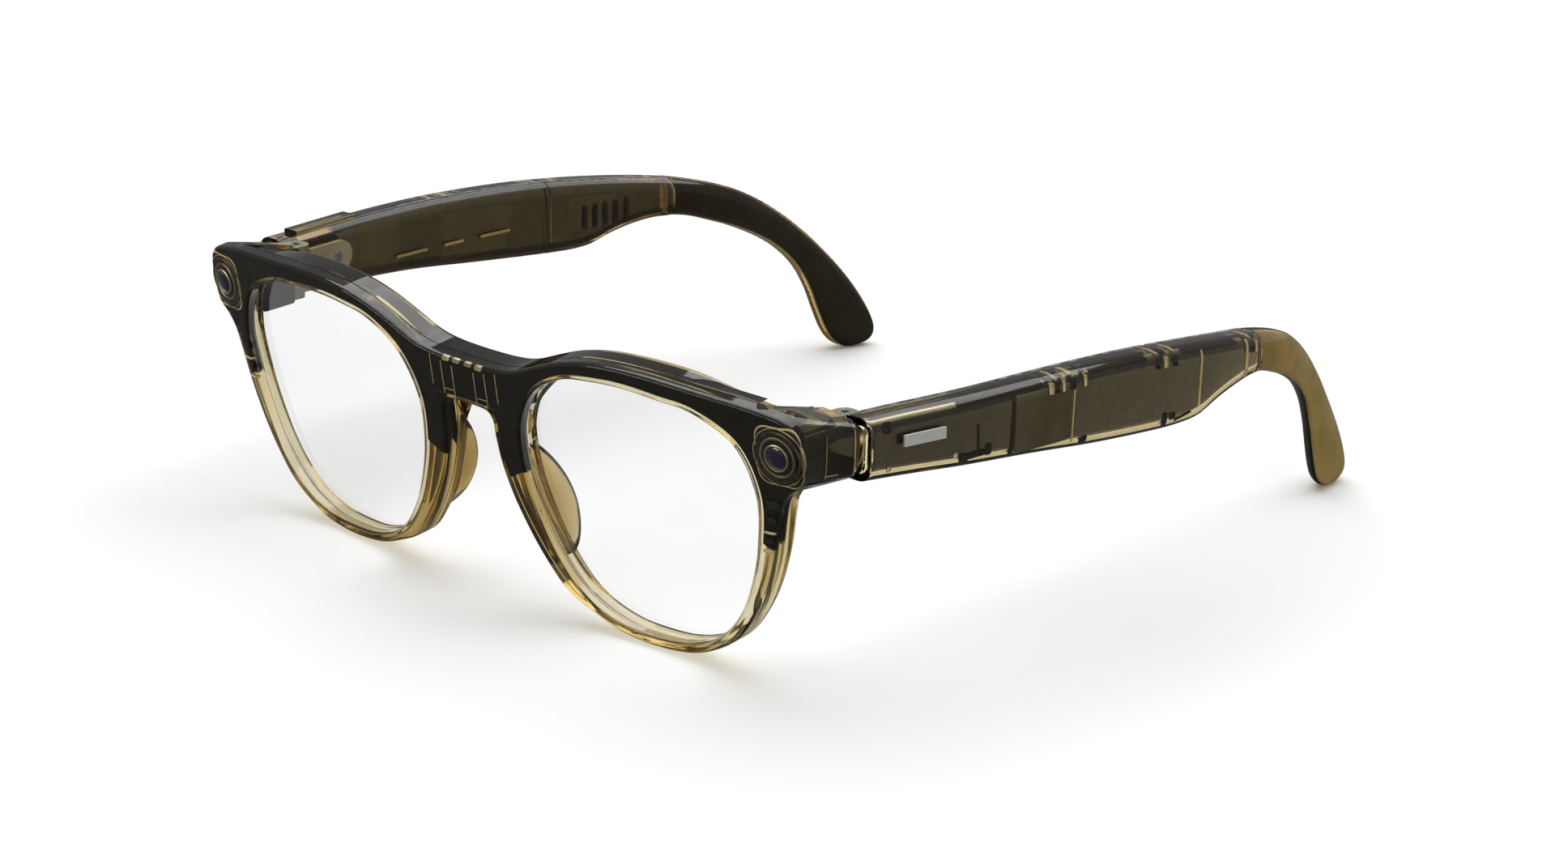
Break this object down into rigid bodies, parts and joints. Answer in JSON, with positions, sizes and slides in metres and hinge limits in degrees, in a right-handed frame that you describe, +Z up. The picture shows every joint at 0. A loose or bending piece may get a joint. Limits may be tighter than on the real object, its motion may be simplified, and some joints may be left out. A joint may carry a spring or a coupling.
{
  "type": "smart glasses",
  "caption": "See-through smart glasses: keyhole front with camera and capture light windows, clear lenses, folding electronic temples, capture button and power switch.",
  "frame": {"origin": "middle of the footprint, on the surface the opened glasses stand on", "axes": "+X to the wearer's left, +Y back along the temples, +Z up; the lenses look towards -Y"},
  "size_m": [0.1538, 0.1548, 0.0476],
  "materials": {
    "smoke_clear": "polished see-through smoke with amber",
    "dark_plastic": "fine satin",
    "lens_clear": "polished clear",
    "pad_clear": "polished clear",
    "gold_foil": "gold plated foil",
    "hinge_gold": "plated, light satin",
    "steel_bright": "satin",
    "board_green": "solder mask",
    "battery_can": "wrapped pouch",
    "black_glass": "polished dark",
    "diffuser_white": "frosted"
  },
  "bodies": {
    "front": {"front_shell": "smoke_clear", "rear_cover": "smoke_clear", "front_insert": "dark_plastic", "lens_left": "lens_clear", "lens_right": "lens_clear", "front_flex": "gold_foil", "bridge_board": "board_green", "bridge_mic": "steel_bright", "charge_contacts": "gold_foil", "nose_pad_left": "pad_clear", "nose_pad_right": "pad_clear", "camera_window": "black_glass", "led_window": "black_glass", "camera_ring": "steel_bright", "camera_lens": "black_glass", "camera_module": "dark_plastic", "led_light": "diffuser_white", "led_board": "board_green", "hinge_front_left": "hinge_gold", "hinge_front_right": "hinge_gold", "hinge_screw_left": "steel_bright", "hinge_screw_right": "steel_bright"},
    "temple_left": {"hinge_temple_left": "hinge_gold", "temple_shell_left": "smoke_clear", "inner_cover_left": "smoke_clear", "speaker_cover_left": "dark_plastic", "ear_hook_left": "smoke_clear", "hook_core_left": "dark_plastic", "battery_left": "battery_can", "aux_board": "board_green", "radio_shield": "steel_bright", "speaker_left": "dark_plastic", "chassis_left": "dark_plastic", "side_flex_left": "gold_foil", "badge_left": "steel_bright", "plate_screw_left": "steel_bright"},
    "temple_right": {"hinge_temple_right": "hinge_gold", "temple_shell_right": "smoke_clear", "inner_cover_right": "smoke_clear", "speaker_cover_right": "dark_plastic", "ear_hook_right": "smoke_clear", "hook_core_right": "dark_plastic", "battery_right": "battery_can", "main_board": "board_green", "processor_shield": "steel_bright", "speaker_right": "dark_plastic", "chassis_right": "dark_plastic", "side_flex_right": "gold_foil", "touchpad": "dark_plastic", "badge_right": "steel_bright", "plate_screw_right": "steel_bright"},
    "capture_button": {"capture_button": "dark_plastic"},
    "power_switch": {"power_switch": "dark_plastic"}
  },
  "joints": [
    {"name": "left_fold", "type": "hinge", "parent": "front", "child": "temple_left", "pos_m": [0.0654, -0.0571, 0.0381], "axis": [0, 0, 1], "range_deg": [0, 88]},
    {"name": "right_fold", "type": "hinge", "parent": "front", "child": "temple_right", "pos_m": [-0.0654, -0.0571, 0.0381], "axis": [0, 0, -1], "range_deg": [0, 76]},
    {"name": "capture_press", "type": "slide", "parent": "temple_right", "child": "capture_button", "axis": [0, 0, -1], "range_m": [0, 0.0005], "stiffness_N_per_m": 900, "springref_m": -0.0003},
    {"name": "power_slide", "type": "slide", "parent": "temple_left", "child": "power_switch", "axis": [0.0748, 0.9972, 0], "range_m": [0, 0.002]}
  ]
}
